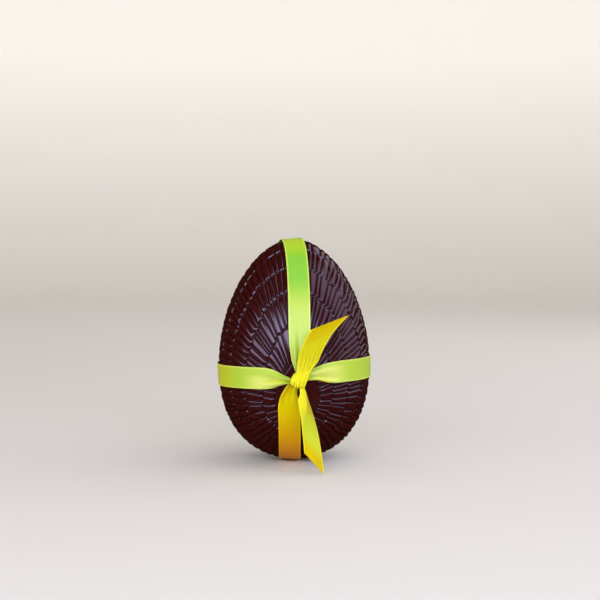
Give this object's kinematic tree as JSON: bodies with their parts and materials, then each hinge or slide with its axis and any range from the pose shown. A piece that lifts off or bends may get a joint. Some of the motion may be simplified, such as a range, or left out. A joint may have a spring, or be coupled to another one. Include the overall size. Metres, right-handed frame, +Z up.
{
  "type": "chocolate egg",
  "caption": "Dark chocolate egg standing on its broad end, moulded all over with radiating blocks and tied round both ways with a satin ribbon knotted at the front.",
  "frame": {"origin": "on the egg's axis, at the flat underside of the ribbon that the egg stands on", "axes": "+Z up along the egg's axis to its small end, -Y towards the side with the knot, +X to the right of that side"},
  "size_m": [0.0743, 0.0868, 0.1065],
  "materials": {
    "dark_chocolate": "tempered dark chocolate from a polished mould, with a soft gloss",
    "ribbon_satin_face": "lime-yellow polyester satin, shiny face",
    "ribbon_reverse_face": "yellow polyester satin, reverse face and folds"
  },
  "bodies": {
    "root": {"egg": "dark_chocolate", "ribbon_upright_band": "ribbon_satin_face", "ribbon_level_band": "ribbon_satin_face", "ribbon_knot": "ribbon_reverse_face", "ribbon_tail_up": "ribbon_reverse_face", "ribbon_tail_down": "ribbon_reverse_face"}
  },
  "joints": []
}
